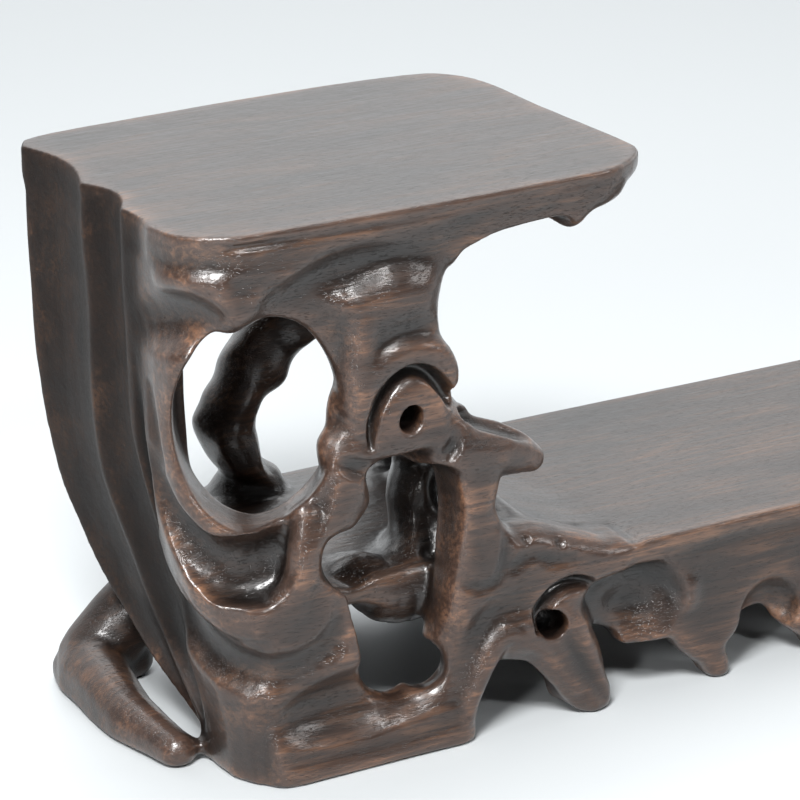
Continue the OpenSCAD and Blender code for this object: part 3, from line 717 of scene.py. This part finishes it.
# dark, middle and warm colours of the stained wood
MATERIALS = {
    "root_wood": wood(
        "carved_root", (0.011, 0.0065, 0.005), (0.033, 0.0185, 0.013), (0.125, 0.062, 0.034)
    ),
    "board_wood": wood(
        "carved_board", (0.011, 0.0067, 0.0053), (0.033, 0.019, 0.0135), (0.12, 0.061, 0.034)
    ),
    "end_grain_wood": wood(
        "carved_end", (0.011, 0.0065, 0.005), (0.032, 0.018, 0.0127), (0.12, 0.06, 0.033)
    ),
    "dowel_wood": wood("dowel", (0.02, 0.012, 0.009), (0.05, 0.03, 0.02), (0.12, 0.065, 0.036)),
}


# ---- Light, floor and camera ----


def area_light(name, place, aim, size, power, colour=(1, 1, 1)):
    data = bpy.data.lights.new(name, "AREA")
    data.shape = "RECTANGLE"
    data.size, data.size_y = size
    data.energy = power
    data.color = colour
    light = bpy.data.objects.new(name, data)
    light.location = place
    light.rotation_mode = "QUATERNION"
    light.rotation_quaternion = (Vector(place) - Vector(aim)).to_track_quat("Z", "Y")
    bpy.context.scene.collection.objects.link(light)


def studio():
    size = 6.0
    bpy.ops.mesh.primitive_plane_add(size=size)
    floor = bpy.context.object
    floor.name = "floor"
    material = bpy.data.materials.new("floor")
    material.use_nodes = True
    shader = material.node_tree.nodes["Principled BSDF"]
    shader.inputs["Base Color"].default_value = (0.43, 0.45, 0.46, 1)
    shader.inputs["Roughness"].default_value = 0.6
    floor.data.materials.append(material)

    world = bpy.data.worlds.new("studio")
    bpy.context.scene.world = world
    world.use_nodes = True
    t = world.node_tree
    direction = node(t, "ShaderNodeTexCoord")
    ahead = node(t, "ShaderNodeVectorMath", operation="DOT_PRODUCT")
    ahead.inputs[1].default_value = (0.46, 0.87, 0.1)
    t.links.new(direction.outputs["Generated"], ahead.inputs[0])
    bright = node(t, "ShaderNodeMapRange", interpolation_type="SMOOTHSTEP")
    bright.inputs["From Min"].default_value = -0.15
    bright.inputs["From Max"].default_value = 0.75
    bright.inputs["To Min"].default_value = 0.07
    bright.inputs["To Max"].default_value = 1.5
    t.links.new(ahead.outputs["Value"], bright.inputs["Value"])
    sky = t.nodes["Background"]
    sky.inputs["Color"].default_value = (0.95, 0.98, 1.0, 1)
    t.links.new(bright.outputs[0], sky.inputs["Strength"])

    aim = (-0.08, 0, 0.06)
    area_light("top_box", (-0.42, -0.42, 0.75), aim, (0.26, 0.2), 13.0)
    area_light("over_box", (0.1, 0.2, 1.0), aim, (0.7, 0.7), 4.2)
    area_light("left_spark", (-0.62, -0.5, 0.42), aim, (0.08, 0.14), 2.2)
    area_light("front_spark", (0.0, -0.85, 0.8), aim, (0.13, 0.08), 3.0)
    area_light("side_box", (0.65, -0.7, 0.5), aim, (0.2, 0.3), 1.5)
    area_light("back_floor", (0.3, 1.3, 1.2), (0.3, 1.0, 0), (1.6, 0.8), 9.5)
    bpy.context.scene.view_settings.view_transform = "Standard"


def camera():
    data = bpy.data.cameras.new("camera")
    data.sensor_width = 36.0
    data.lens = 166.5
    data.clip_start = 0.05
    azimuth, elevation, roll = (math.radians(v) for v in (-27.464, 20.446, -1.414))
    level = math.cos(elevation)
    back = Vector((math.sin(azimuth) * level, -math.cos(azimuth) * level, math.sin(elevation)))
    right = Vector((math.cos(azimuth), math.sin(azimuth), 0))
    rise = back.cross(right)
    aim = Vector((ORIGIN[0] + AIM[0], ORIGIN[1] + AIM[1], AIM[2])) * MM
    place = aim + back * DISTANCE * MM
    x = right * math.cos(roll) + rise * math.sin(roll)
    y = rise * math.cos(roll) - right * math.sin(roll)
    lens = bpy.data.objects.new("camera", data)
    lens.matrix_world = Matrix.Translation(place) @ Matrix((x, y, back)).transposed().to_4x4()
    bpy.context.scene.collection.objects.link(lens)
    bpy.context.scene.camera = lens


# Where the camera looks, in millimetres from the upper board's front left corner, and how
# far away it stands
AIM = (67.04, 41.47, 62.95)
DISTANCE = 790.0

clay, owner = build_clay()
for name, piece in cut_into_pieces(clay, owner):
    slot = SLOTS.get(name, "root_wood")
    piece.data.materials.append(MATERIALS[slot])
    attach(piece, "root")
    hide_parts(name)
for name in ("upper_dowels", "seam_dowels", "low_dowels"):
    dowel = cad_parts[name]
    dowel.data.materials.clear()
    dowel.data.materials.append(MATERIALS["dowel_wood"])

studio()
camera()
